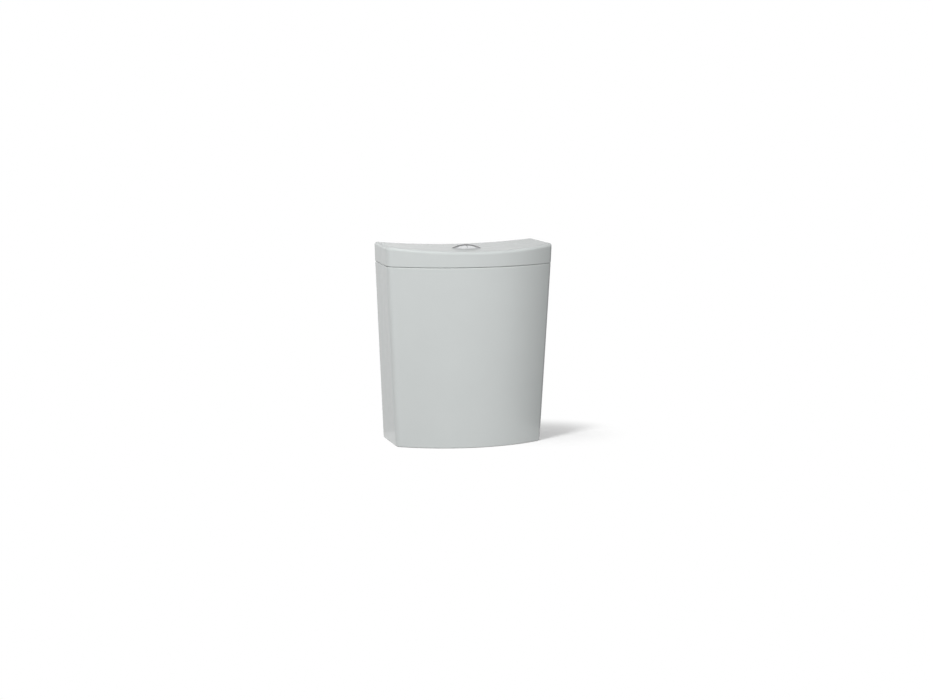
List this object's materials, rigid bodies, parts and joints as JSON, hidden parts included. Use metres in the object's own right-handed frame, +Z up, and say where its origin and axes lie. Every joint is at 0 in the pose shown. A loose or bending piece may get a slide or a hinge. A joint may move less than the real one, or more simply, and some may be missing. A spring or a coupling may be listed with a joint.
{
  "type": "toilet cistern",
  "caption": "Tapered bow-fronted ceramic toilet cistern with a dished lift-off lid, a round split flush button, and its flush valve, fill valve and float inside.",
  "frame": {"origin": "on the floor plane of the tank's foot, under the middle of the overall box", "axes": "+X to the right seen from the front, +Y to the wall behind, +Z up; the bowed front faces -Y"},
  "size_m": [0.3354, 0.1876, 0.3956],
  "materials": {
    "ceramic": "gloss",
    "chrome": "polished",
    "white_plastic": "semi-gloss",
    "pale_plastic": "semi-gloss",
    "grey_plastic": "satin",
    "dark_plastic": "satin",
    "blue_plastic": "semi-gloss",
    "light_blue_plastic": "semi-gloss",
    "black_rubber": "matte",
    "red_rubber": "matte",
    "sponge_rubber": "matte",
    "clear_pad": "satin",
    "spring_steel": "satin"
  },
  "bodies": {
    "cistern": {"tank": "ceramic", "flush_valve_base": "white_plastic", "flush_valve_gasket": "black_rubber", "flush_valve_nut": "white_plastic", "bowl_gasket": "sponge_rubber", "valve_tower": "white_plastic", "rocker_pin": "spring_steel", "fill_valve_shank": "white_plastic", "fill_valve_washer": "black_rubber", "fill_valve_nut": "white_plastic", "inlet_strainer": "grey_plastic", "fill_valve_riser": "pale_plastic", "riser_collar": "blue_plastic", "fill_valve_head": "grey_plastic", "fill_valve_cap": "white_plastic", "valve_diaphragm": "black_rubber", "lever_pin": "spring_steel", "refill_pipe": "white_plastic", "refill_clip": "blue_plastic"},
    "lid": {"lid": "ceramic", "lid_bumpers": "clear_pad", "button_housing": "chrome", "button_locknut": "white_plastic", "full_flush_spring": "spring_steel", "half_flush_spring": "spring_steel"},
    "full_button": {"full_flush_button": "chrome", "full_flush_rod": "white_plastic", "full_rod_foot": "blue_plastic"},
    "half_button": {"half_flush_button": "chrome", "half_flush_rod": "white_plastic", "half_rod_foot": "blue_plastic"},
    "full_rocker": {"full_flush_rocker": "blue_plastic"},
    "half_rocker": {"half_flush_rocker": "light_blue_plastic"},
    "standpipe": {"flush_standpipe": "white_plastic", "flush_seal": "red_rubber", "seal_retainer": "white_plastic"},
    "half_sleeve": {"half_flush_sleeve": "light_blue_plastic"},
    "float": {"float_cup": "dark_plastic", "float_link": "white_plastic", "level_clip": "blue_plastic"},
    "float_lever": {"float_lever": "grey_plastic"}
  },
  "joints": [
    {"name": "lid_lift", "type": "slide", "parent": "cistern", "child": "lid", "axis": [0, 0, 1], "range_m": [0, 0.15]},
    {"name": "full_flush_press", "type": "slide", "parent": "lid", "child": "full_button", "axis": [0, 0, -1], "range_m": [0, 0.008], "stiffness_N_per_m": 300, "springref_m": -0.01, "deforming": ["full_flush_spring"]},
    {"name": "half_flush_press", "type": "slide", "parent": "lid", "child": "half_button", "axis": [0, 0, -1], "range_m": [0, 0.008], "stiffness_N_per_m": 300, "springref_m": -0.01, "deforming": ["half_flush_spring"]},
    {"name": "full_rocker_tilt", "type": "hinge", "parent": "cistern", "child": "full_rocker", "pos_m": [0, -0.0044, 0.2864], "axis": [0, 1, 0], "range_deg": [0, 29]},
    {"name": "standpipe_lift", "type": "slide", "parent": "cistern", "child": "standpipe", "axis": [0, 0, 1], "range_m": [0, 0.012]},
    {"name": "half_rocker_tilt", "type": "hinge", "parent": "cistern", "child": "half_rocker", "pos_m": [0, -0.0044, 0.2864], "axis": [0, -1, 0], "range_deg": [0, 29]},
    {"name": "half_sleeve_lift", "type": "slide", "parent": "standpipe", "child": "half_sleeve", "axis": [0, 0, 1], "range_m": [0, 0.012]},
    {"name": "float_rise", "type": "slide", "parent": "cistern", "child": "float", "axis": [0, 0, 1], "range_m": [0, 0.012]},
    {"name": "float_lever_tilt", "type": "hinge", "parent": "cistern", "child": "float_lever", "pos_m": [-0.09127, -0.0024, 0.30801], "axis": [0, -1, 0], "range_deg": [0, 23]}
  ],
  "couplings": [
    {"joint": "full_rocker_tilt", "follows": "full_flush_press", "rad_per_m": 63.257},
    {"joint": "standpipe_lift", "follows": "full_flush_press", "ratio": 1.5},
    {"joint": "half_rocker_tilt", "follows": "half_flush_press", "rad_per_m": 63.257},
    {"joint": "half_sleeve_lift", "follows": "half_flush_press", "ratio": 1.5},
    {"joint": "float_lever_tilt", "follows": "float_rise", "rad_per_m": 33.445}
  ]
}
